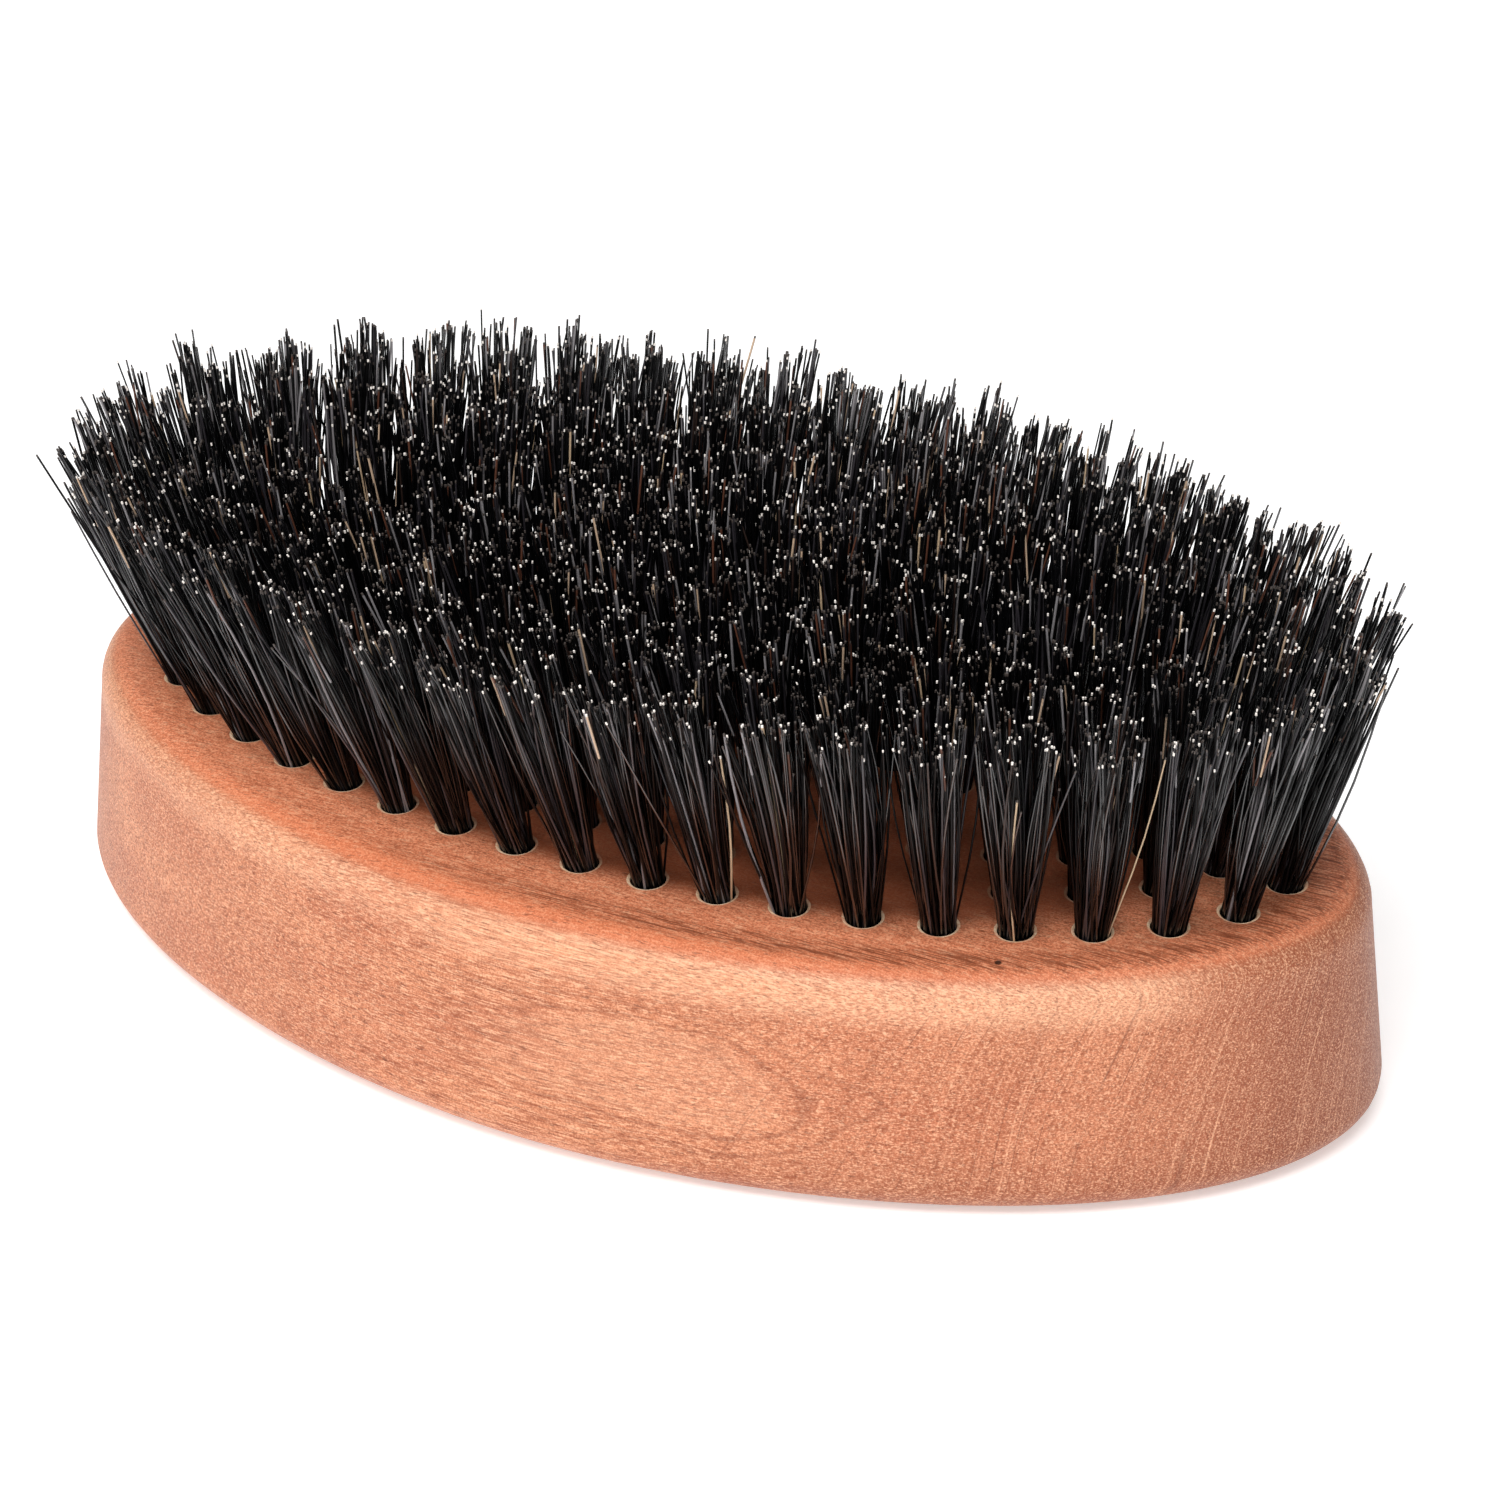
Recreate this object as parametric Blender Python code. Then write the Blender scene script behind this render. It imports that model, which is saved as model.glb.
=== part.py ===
"""Oval beard brush: one wooden block drilled with blind holes, each holding a tuft of bristles.

Metres, +Z up. The block lies on its back at Z = 0 with its long side along X, and the bristles
point up. The holes follow oval rows round the face. Every hole leans outwards along the normal of
its row, most in the outer row and not at all on the long axis, so the tufts fan out. Their tips are
trimmed level.
"""
from math import atan2, cos, hypot, pi, radians, sin

import bmesh
import bpy
from mathutils import Matrix, Vector

# The wooden block.
BLOCK_LENGTH = 0.120
BLOCK_WIDTH = 0.0665
BLOCK_HEIGHT = 0.021
BLOCK_EXPONENT = 1.88        # of the superellipse outline: 2 is an ellipse, less is more pointed
BLOCK_SIDES = 80
SIDE_DRAFT = 0.0018          # how far the side leans in from its widest level to the top edge
TOP_EDGE = 0.0030            # radius of the rounded edge round the bristle face
BOTTOM_EDGE_HEIGHT = 0.0030  # the softer edge round the back: its height and its reach inwards
BOTTOM_EDGE_INSET = 0.0036
EDGE_STEPS = 3

# The rows of holes. The outer row is an oval, and the others run parallel inside it.
ROW_HALF_LENGTH = 0.0516
ROW_HALF_WIDTH = 0.0215
ROW_EXPONENT = 1.96
ROW_SPACING = 0.0055
OUTER_COUNT = 40
SECOND_COUNT = 34
THIRD_COUNT = 28
FOURTH_PITCH = 0.0063
FOURTH_PAIRS = 4             # tufts each way from the middle on each side of the fourth row
AXIS_PITCH = 0.00585         # of the single tufts on the long axis
AXIS_REACH = 5               # stations tried each way from the middle
AXIS_CLEARANCE = 0.0044      # least distance from an axis tuft to any other tuft
ACROSS_LEAN = radians(20)    # of an outer tuft in the middle of a long side
ALONG_LEAN = radians(13.5)   # of an outer tuft at an end
PATH_STEPS = 400             # points in a quarter of a row's path

# The holes and the tufts in them.
HOLE_RADIUS = 0.00145
HOLE_DEPTH = 0.0090          # along the hole's own axis, to leave wood under the bristles
HOLE_OVERRUN = 0.0012        # how far a drill stands out of the face, so that a leaning hole opens
ANCHOR_ROOM = 0.0008         # at the bottom of a hole, for the flat wire that holds the tuft
TUFT_SIDES = 8
SHANK_RADIUS = 0.00110
SHANK_TOP = 0.0005           # where a tuft starts to spread, above the face
TIP_HEIGHT = 0.0206          # of the trimmed tips above the face
WAIST_HEIGHT = 0.0070
WAIST_RADIUS = 0.00150
TIP_RADIUS = 0.00270
STRIP_TIP_SPREAD = 0.0040    # half a tip's size along its row, where neighbours grow together

WOOD_COLOUR = (0.56, 0.27, 0.19, 1.0)
WOOD_ROUGHNESS = 0.5
BRISTLE_COLOUR = (0.012, 0.011, 0.011, 1.0)
BRISTLE_ROUGHNESS = 0.35
CREASE_ANGLE = radians(40)   # faces that meet more sharply than this are shaded as an edge


def clear_scene():
    for old in list(bpy.data.objects):
        bpy.data.objects.remove(old, do_unlink=True)


def make_material(name, colour, roughness):
    material = bpy.data.materials.new(name)
    material.use_nodes = True
    shader = material.node_tree.nodes["Principled BSDF"]
    shader.inputs["Base Color"].default_value = colour
    shader.inputs["Roughness"].default_value = roughness
    shader.inputs["Metallic"].default_value = 0.0
    material.diffuse_color = colour
    return material


def add_object(name, bm, material):
    """A new object from a bmesh, shaded smooth except across its edges."""
    bmesh.ops.recalc_face_normals(bm, faces=bm.faces)
    mesh = bpy.data.meshes.new(name)
    bm.to_mesh(mesh)
    bm.free()
    mesh.shade_smooth()
    mesh.set_sharp_from_angle(angle=CREASE_ANGLE)
    mesh.materials.append(material)
    obj = bpy.data.objects.new(name, mesh)
    bpy.context.scene.collection.objects.link(obj)
    return obj


def make_cutter(obj):
    """Turns an object into a helper: it shapes another one and isn't a piece of the brush."""
    obj.hide_render = True
    obj.display_type = "WIRE"


def boolean(obj, helper, operation):
    make_cutter(helper)
    modifier = obj.modifiers.new(operation.title(), "BOOLEAN")
    modifier.operation = operation
    modifier.solver = "EXACT"
    modifier.object = helper


def superellipse(half_length, half_width, exponent, angle):
    """A point of a superellipse and the outward normal there."""
    c, s = cos(angle), sin(angle)
    x = half_length * abs(c) ** (2 / exponent) * (1 if c >= 0 else -1)
    y = half_width * abs(s) ** (2 / exponent) * (1 if s >= 0 else -1)
    slope_x = abs(x / half_length) ** (exponent - 1) / half_length * (1 if c >= 0 else -1)
    slope_y = abs(y / half_width) ** (exponent - 1) / half_width * (1 if s >= 0 else -1)
    return Vector((x, y, 0)), Vector((slope_x, slope_y, 0)).normalized()


def block_profile():
    """(inset from the widest outline, height) up the side of the block, from its back to its face."""
    steps = [k / EDGE_STEPS * pi / 2 for k in range(EDGE_STEPS + 1)]
    bottom = [(BOTTOM_EDGE_INSET * (1 - sin(t)), BOTTOM_EDGE_HEIGHT * (1 - cos(t))) for t in steps]
    top = [
        (SIDE_DRAFT + TOP_EDGE * (1 - cos(t)), BLOCK_HEIGHT - TOP_EDGE * (1 - sin(t)))
        for t in steps
    ]
    return bottom + top


def make_block(wood):
    bm = bmesh.new()
    outline = [
        superellipse(BLOCK_LENGTH / 2, BLOCK_WIDTH / 2, BLOCK_EXPONENT, 2 * pi * k / BLOCK_SIDES)
        for k in range(BLOCK_SIDES)
    ]
    below = None
    for inset, height in block_profile():
        ring = [bm.verts.new(p - inset * n + Vector((0, 0, height))) for p, n in outline]
        edges = [bm.edges.new((ring[k - 1], ring[k])) for k in range(BLOCK_SIDES)]
        if below is None:
            bm.faces.new(ring)
        else:
            bmesh.ops.bridge_loops(bm, edges=below + edges)
        below = edges
    bm.faces.new(ring)
    return add_object("wooden_block", bm, wood)


def row_path(inset):
    """The closed path of a row as (point, normal), starting at its +X end.

    An inward offset longer than the end's radius crosses itself near the long axis, so the stretch
    past the crossing is left out, and the row comes to a point there.
    """
    quarter = []
    for k in range(PATH_STEPS + 1):
        point, normal = superellipse(
            ROW_HALF_LENGTH, ROW_HALF_WIDTH, ROW_EXPONENT, pi / 2 * k / PATH_STEPS)
        point = point - inset * normal
        if point.y < 0:
            quarter.clear()
        quarter.append((point, normal))
    quarter[0] = (Vector((quarter[0][0].x, 0, 0)), Vector((1, 0, 0)))
    quarter[-1] = (Vector((0, quarter[-1][0].y, 0)), Vector((0, 1, 0)))
    flip_x, flip_y = Vector((-1, 1, 1)), Vector((1, -1, 1))
    half = quarter + [(p * flip_x, n * flip_x) for p, n in reversed(quarter[:-1])]
    return half + [(p * flip_y, n * flip_y) for p, n in reversed(half[:-1])]


def along(path, distances):
    """(point, normal) at each distance along a path, which are in rising order."""
    found = []
    start, walked = 0, 0.0
    for distance in distances:
        while start < len(path) - 2 and walked + (path[start + 1][0] - path[start][0]).length < distance:
            walked += (path[start + 1][0] - path[start][0]).length
            start += 1
        step = (path[start + 1][0] - path[start][0]).length
        share = (distance - walked) / step
        point = path[start][0].lerp(path[start + 1][0], share)
        normal = path[start][1].lerp(path[start + 1][1], share).normalized()
        found.append((point, normal))
    return found


def path_length(path):
    return sum((path[k + 1][0] - path[k][0]).length for k in range(len(path) - 1))


def tuft_frame(point, outward, inset):
    """Where a tuft stands: its origin in the face, Z along it, X away from the middle of the brush."""
    outer_lean = ACROSS_LEAN + (ALONG_LEAN - ACROSS_LEAN) * abs(outward.x)
    lean = outer_lean * (1 - inset / ROW_HALF_WIDTH)
    turn = Matrix.Rotation(atan2(outward.y, outward.x), 4, "Z")
    tilt = Matrix.Rotation(lean, 4, "Y")
    return Matrix.Translation((point.x, point.y, BLOCK_HEIGHT)) @ turn @ tilt


def full_row(inset, count):
    """Frames of a row's tufts, evenly spaced from its +X end right round."""
    path = row_path(inset)
    pitch = path_length(path) / count
    return [tuft_frame(p, n, inset) for p, n in along(path, [k * pitch for k in range(count)])]


def fourth_row():
    """Frames of the fourth row's back and front stretches, which stop short of the long axis."""
    inset = 3 * ROW_SPACING
    path = row_path(inset)
    length = path_length(path)
    offsets = [(k - FOURTH_PAIRS + 0.5) * FOURTH_PITCH for k in range(2 * FOURTH_PAIRS)]
    back = along(path, [length / 4 + offset for offset in offsets])
    front = along(path, [length * 3 / 4 + offset for offset in offsets])
    return [[tuft_frame(p, n, inset) for p, n in side] for side in (back, front)]


def axis_row(others):
    """Upright tufts on the long axis, wherever the rows round it leave room for one."""
    frames = []
    for k in range(-AXIS_REACH, AXIS_REACH + 1):
        x = k * AXIS_PITCH
        nearest = min(hypot(f.translation.x - x, f.translation.y) for f in others)
        if nearest >= AXIS_CLEARANCE:
            frames.append(tuft_frame(Vector((x, 0, 0)), Vector((1, 0, 0)), ROW_HALF_WIDTH))
    return frames


def add_tuft(bm, frame, tip_spread, start):
    """A closed tuft: a straight shank in its hole, then a flare to the tips, which are cut level.

    The corners of its sections begin at start, as a share of a side.
    """
    sections = (
        (ANCHOR_ROOM - HOLE_DEPTH, SHANK_RADIUS, SHANK_RADIUS),
        (SHANK_TOP, SHANK_RADIUS, SHANK_RADIUS),
        (WAIST_HEIGHT, WAIST_RADIUS, WAIST_RADIUS),
        (TIP_HEIGHT, TIP_RADIUS, tip_spread),
    )
    below = None
    for height, across, lengthways in sections:
        ring = []
        for k in range(TUFT_SIDES):
            angle = 2 * pi * (k + start) / TUFT_SIDES
            corner = Vector((across * cos(angle), lengthways * sin(angle), height))
            if height == TIP_HEIGHT:
                corner.z = (TIP_HEIGHT - frame[2][0] * corner.x) / frame[2][2]
            ring.append(bm.verts.new(frame @ corner))
        if below is None:
            bm.faces.new(ring[::-1])
        else:
            for k in range(TUFT_SIDES):
                bm.faces.new((below[k - 1], below[k], ring[k], ring[k - 1]))
        below = ring
    bm.faces.new(below)


def make_single_tuft(name, frame, bristle):
    bm = bmesh.new()
    add_tuft(bm, frame, TIP_RADIUS, 0)
    bm.transform(frame.inverted())
    add_object(name, bm, bristle).matrix_world = frame


def make_strip(name, frames, bristle):
    """A stretch of a row whose tufts have grown together at the tips.

    Neighbours overlap, so every other tuft is built in the strip and the ones between are united
    with it. Those are turned by half a side, so that a corner meets a flat and not another corner.
    """
    halves = []
    for first, label, start in ((0, name, 0), (1, name + "_between", 0.5)):
        bm = bmesh.new()
        for frame in frames[first::2]:
            add_tuft(bm, frame, STRIP_TIP_SPREAD, start)
        halves.append(add_object(label, bm, bristle))
    boolean(halves[0], halves[1], "UNION")


def drill_holes(block, frames, wood):
    bm = bmesh.new()
    depth = HOLE_DEPTH + HOLE_OVERRUN
    for frame in frames:
        bmesh.ops.create_cone(
            bm, cap_ends=True, segments=TUFT_SIDES, radius1=HOLE_RADIUS, radius2=HOLE_RADIUS, depth=depth,
            matrix=frame @ Matrix.Translation((0, 0, HOLE_OVERRUN - depth / 2)))
    boolean(block, add_object("drills", bm, wood), "DIFFERENCE")


def main():
    clear_scene()
    wood = make_material("pear_wood", WOOD_COLOUR, WOOD_ROUGHNESS)
    bristle = make_material("boar_bristle", BRISTLE_COLOUR, BRISTLE_ROUGHNESS)

    outer = full_row(0, OUTER_COUNT)
    second = full_row(ROW_SPACING, SECOND_COUNT)
    third = full_row(2 * ROW_SPACING, THIRD_COUNT)
    fourth_back, fourth_front = fourth_row()
    ringed = outer + second + third + fourth_back + fourth_front
    axis = axis_row(ringed)

    drill_holes(make_block(wood), ringed + axis, wood)

    singles = [(f"outer_tuft_{k + 1:02d}", frame) for k, frame in enumerate(outer)]
    singles += [(f"axis_tuft_{k + 1}", frame) for k, frame in enumerate(axis)]
    for row_name, row in (("second_row", second), ("third_row", third)):
        half = len(row) // 2
        singles += [(row_name + "_right_end_tuft", row[0]), (row_name + "_left_end_tuft", row[half])]
        make_strip(row_name + "_back_tufts", row[1:half], bristle)
        make_strip(row_name + "_front_tufts", row[half + 1:], bristle)
    make_strip("fourth_row_back_tufts", fourth_back, bristle)
    make_strip("fourth_row_front_tufts", fourth_front, bristle)
    for name, frame in singles:
        make_single_tuft(name, frame, bristle)


main()
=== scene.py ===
"""The looks of the beard brush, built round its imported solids.

Every piece is in metres in the frame of the solids: the block lies on Z = 0 with its long side
along X, and the bristles point up.
"""

from math import atan2, cos, hypot, pi, radians, sin

import bmesh
import bpy
import numpy as np
from mathutils import Matrix, Vector


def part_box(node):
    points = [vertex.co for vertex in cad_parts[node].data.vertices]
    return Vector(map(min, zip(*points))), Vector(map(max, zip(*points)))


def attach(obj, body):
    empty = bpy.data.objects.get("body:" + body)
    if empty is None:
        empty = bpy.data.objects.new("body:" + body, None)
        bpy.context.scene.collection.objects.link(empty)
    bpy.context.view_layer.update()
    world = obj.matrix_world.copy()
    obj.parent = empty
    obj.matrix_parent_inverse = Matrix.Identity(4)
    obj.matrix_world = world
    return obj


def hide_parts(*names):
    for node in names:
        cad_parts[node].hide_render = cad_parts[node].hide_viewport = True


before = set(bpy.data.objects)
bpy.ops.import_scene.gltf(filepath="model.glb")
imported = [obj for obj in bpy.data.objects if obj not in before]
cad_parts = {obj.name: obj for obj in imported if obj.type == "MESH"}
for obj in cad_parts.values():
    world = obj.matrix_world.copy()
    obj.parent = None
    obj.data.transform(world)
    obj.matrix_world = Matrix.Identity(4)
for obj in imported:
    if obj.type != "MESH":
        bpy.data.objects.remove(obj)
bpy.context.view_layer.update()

# The block, from its solid. The other sizes are those of the solids, which can't be read off boxes.
_, BLOCK_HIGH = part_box("wooden_block")
HALF_LENGTH = BLOCK_HIGH.x
HALF_WIDTH = BLOCK_HIGH.y
HEIGHT = BLOCK_HIGH.z
END = HALF_LENGTH * 1000     # the same two in millimetres, in which the materials work
TOP = HEIGHT * 1000
BLOCK_EXPONENT = 1.88
BLOCK_SIDES = 240
SIDE_DRAFT = 0.0018
TOP_EDGE = 0.0030
BOTTOM_EDGE_HEIGHT = 0.0030
BOTTOM_EDGE_INSET = 0.0036
EDGE_STEPS = 9
FLAT_RIM = 0.0004            # a narrow flat band just inside an edge, which keeps its shading crisp

# The rows of holes.
ROW_HALF_LENGTH = 0.0516
ROW_HALF_WIDTH = 0.0215
ROW_EXPONENT = 1.96
ROW_SPACING = 0.0055
OUTER_COUNT = 40
SECOND_COUNT = 34
THIRD_COUNT = 28
FOURTH_PITCH = 0.0063
FOURTH_PAIRS = 4
AXIS_PITCH = 0.00585
AXIS_REACH = 5
AXIS_CLEARANCE = 0.0044
ACROSS_LEAN = radians(20)    # of an outer tuft in the middle of a long side
ALONG_LEAN = radians(13.5)   # of an outer tuft at an end
PATH_STEPS = 400

# The holes.
HOLE_RADIUS = 0.00145
HOLE_DEPTH = 0.0090
HOLE_SIDES = 28
LIP_WIDTH = 0.00024          # the worn edge of a hole
LIP_DEPTH = 0.00010

# The bristles.
STRANDS = 100                # bristle ends in a tuft
CLUMPS = 13                  # groups of bristles that cling together at the tips
CLING = 0.50                 # how far a bristle's tip is drawn to its group
STRAND_SIDES = 5
STRAND_RADIUS = 0.000100
ROOT_RADIUS = 0.00133        # of the bundle in its hole
TIP_HEIGHT = 0.0206          # of the trimmed tips above the face
BRISTLE_FOOT = -0.0084       # where the bristles end, at the bottom of the anchor wire
TIP_SPREAD = 0.0031          # radius of an outer tuft at its tips
INNER_TIP_SPREAD = 0.0037    # of a tuft inside the outer row
CUT_END = 0.00020            # length of the cut end of a bristle, pale on some strands as its core and a painted glint
TIP_RING = 5                 # the ring of a strand from which it may be paler
RING_SHARES = (0.0, 0.17, 0.36, 0.56, 0.78)                     # heights of a strand's rings
RING_TAPER = (0.95, 1.0, 1.0, 1.0, 0.98, 0.94, 0.89, 0.84)      # and its thickness at all of them
OPENING_POWER = 1.12         # above 1, a tuft stays tight at its root
ROOT_JITTER = 0.00003
TIP_JITTER = 0.00034
SPREAD_VARIATION = 0.10
THICKNESS_VARIATION = 0.10
SPRUNG_SHARE = 0.11          # share of bristles that have sprung out of line, and how far
SPRUNG_REACH = 0.0014
CLUMP_LENGTH_VARIATION = 0.00085
LENGTH_VARIATION = 0.00036
SHORT_SHARE = 0.16           # share of bristles that are shorter, and by how much
SHORT_BY = (0.0008, 0.0036)
BEND = 0.00040
GOLDEN_ANGLE = pi * (3 - 5 ** 0.5)

# The anchor wires.
ANCHOR_SIZE = (0.00035, 0.0032, 0.0016)
ANCHOR_ROUNDING = 0.3        # of its thickness

# The camera: a long lens, looking down at the front of the brush from its right.
CAMERA_AZIMUTH = 0.4727
CAMERA_ELEVATION = 0.5286
CAMERA_ROLL = -0.0113
CAMERA_DISTANCE = 0.3395
CAMERA_AIM = (0.0038, 0.0082)    # how far right of the block's middle, and above it, the camera aims
CAMERA_LENS = 95.6
SENSOR = 36.0

# The stage. Each light is a name, its place, its size and its power in watts.
WORLD_STRENGTH = 0.36
FLOOR_WHITE = 0.93
FLOOR_GLOW = 0.34
FLOOR_SIZE = 3.0
LIGHTS = (
    ("overhead", (0.04, -0.38, 0.72), (0.52, 0.36), 5.4),
    ("left_front", (-0.55, -0.48, 0.30), (0.34, 0.34), 1.25),
    ("right_front", (0.50, -0.58, 0.34), (0.26, 0.26), 1.4),
)


def srgb(red, green, blue):
    """Linear colour of an sRGB colour in steps of 255."""
    channels = []
    for value in (red, green, blue):
        v = value / 255
        channels.append(v / 12.92 if v <= 0.04045 else ((v + 0.055) / 1.055) ** 2.4)
    return (*channels, 1.0)


# ---------------------------------------------------------------- node helpers

class Nodes:
    """A material's node tree, with short calls for the nodes that the materials use."""

    def __init__(self, name):
        self.material = bpy.data.materials.new(name)
        self.material.use_nodes = True
        self.tree = self.material.node_tree
        self.shader = self.tree.nodes["Principled BSDF"]

    def link(self, source, target):
        self.tree.links.new(source, target)

    def put(self, value, socket):
        """Links an output to a socket, or sets a plain value on it."""
        if isinstance(value, bpy.types.NodeSocket):
            self.link(value, socket)
        else:
            socket.default_value = value

    def position(self, scale=(1, 1, 1), turn=(0, 0, 0)):
        """Object coordinates in millimetres, turned and then stretched."""
        coordinates = self.tree.nodes.new("ShaderNodeTexCoord")
        mapping = self.tree.nodes.new("ShaderNodeMapping")
        mapping.vector_type = "TEXTURE"
        mapping.inputs["Rotation"].default_value = turn
        mapping.inputs["Scale"].default_value = [0.001 * s for s in scale]
        self.link(coordinates.outputs["Object"], mapping.inputs["Vector"])
        return mapping.outputs["Vector"]

    def noise(self, vector, scale, detail=2.0, roughness=0.5, distortion=0.0):
        node = self.tree.nodes.new("ShaderNodeTexNoise")
        node.inputs["Scale"].default_value = scale
        node.inputs["Detail"].default_value = detail
        node.inputs["Roughness"].default_value = roughness
        node.inputs["Distortion"].default_value = distortion
        self.link(vector, node.inputs["Vector"])
        return node.outputs["Fac"]

    def math(self, operation, first, second=0.0, third=0.0, clamp=False):
        node = self.tree.nodes.new("ShaderNodeMath")
        node.operation = operation
        node.use_clamp = clamp
        for value, socket in zip((first, second, third), node.inputs):
            self.put(value, socket)
        return node.outputs[0]

    def times(self, first, second):
        return self.math("MULTIPLY", first, second)

    def band(self, value, low, high, at_low=0.0, at_high=1.0, smooth=True):
        """Maps a value from low..high to at_low..at_high, clamped."""
        node = self.tree.nodes.new("ShaderNodeMapRange")
        node.interpolation_type = "SMOOTHSTEP" if smooth else "LINEAR"
        for number, socket in zip((value, low, high, at_low, at_high), node.inputs):
            self.put(number, socket)
        return node.outputs["Result"]

    def mix(self, factor, first, second, blend="MIX"):
        node = self.tree.nodes.new("ShaderNodeMix")
        node.data_type = "RGBA"
        node.blend_type = blend
        sockets = [s for s in node.inputs if s.enabled]
        self.put(factor, sockets[0])
        self.put(first, sockets[1])
        self.put(second, sockets[2])
        return [s for s in node.outputs if s.enabled][0]

    def split(self, vector):
        node = self.tree.nodes.new("ShaderNodeSeparateXYZ")
        self.link(vector, node.inputs[0])
        return node.outputs

    def join(self, *parts):
        node = self.tree.nodes.new("ShaderNodeCombineXYZ")
        for value, socket in zip(parts, node.inputs):
            self.put(value, socket)
        return node.outputs[0]

    def bump(self, height, strength, distance):
        node = self.tree.nodes.new("ShaderNodeBump")
        node.inputs["Strength"].default_value = strength
        node.inputs["Distance"].default_value = distance
        self.link(height, node.inputs["Height"])
        self.link(node.outputs["Normal"], self.shader.inputs["Normal"])


# ---------------------------------------------------------------- materials

WOOD_LIGHT = srgb(210, 138, 100)
WOOD_DEEP = srgb(188, 112, 78)
WOOD_PALE = srgb(246, 190, 152)
WOOD_DARK = srgb(140, 72, 44)
WOOD_LINE = srgb(112, 54, 34)
WOOD_FACE = srgb(228, 136, 97)
WOOD_FACE_DARK = srgb(120, 60, 36)
WOOD_FACE_PALE = srgb(252, 188, 148)
# The darker orange along the start of the top edge.
WOOD_EDGE_ORANGE = srgb(208, 112, 70)
WOOD_HEART = srgb(184, 106, 74)
# Painted shade, laid on the right-hand end and low on the right of the side.
WOOD_PAINTED_SHADE = srgb(114, 52, 34)
WOOD_PORE = srgb(84, 42, 28)
PIN_KNOT_BLACK = (0.02, 0.008, 0.005, 1.0)

# The wood's figure. Every size is in millimetres; a size of three is drawn out along X.
PIN_KNOT = (35.75, -20.3, 21.0)
PIN_KNOT_RADIUS = 0.34
LAYER_SLANT_X = -0.05        # how the normal of the growth layers leans away from Y
LAYER_SLANT_Z = -0.30
LAYER_THICKNESS = 2.4
WAVER_SIZE = (44, 30, 34)    # their waves, and how high those are
WAVER_HEIGHT = 5.5
RING_SPACING = 1.2
HAIR_SPACING = 0.10
FIBRE_SIZE = (9, 0.36, 0.30)
THREAD_SIZE = (3.4, 0.16, 0.13)
FINE_SIZE = (1.7, 0.14, 0.12)
STREAK_SIZE = (1.1, 0.22, 0.22)
PORE_SIZE = (0.9, 0.11, 0.11)
CLOUD_SIZE = (24, 10, 8)
GRIT_SCALE = 5.6             # specks per millimetre
LOOP_MIDDLE = (8.5, 10.0)    # X and Z
LOOP_REACH = (17.5, 5.6)
LOOPS = ((0.94, 0.20), (1.20, 0.36), (1.44, 0.26))    # size, and how dark


def outwardness(n, x, y):
    """How far out a point of the face lies: 0 in the middle, about 0.45 in the outer row of holes and
    about 0.7 where the edge begins, all the way round.
    """
    across = n.math("DIVIDE", y, HALF_WIDTH * 1000)
    lengthwise = n.math("DIVIDE", x, END)
    squared = n.times(n.times(lengthwise, lengthwise), 0.8)
    return n.math("MULTIPLY_ADD", across, across, squared)


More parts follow.
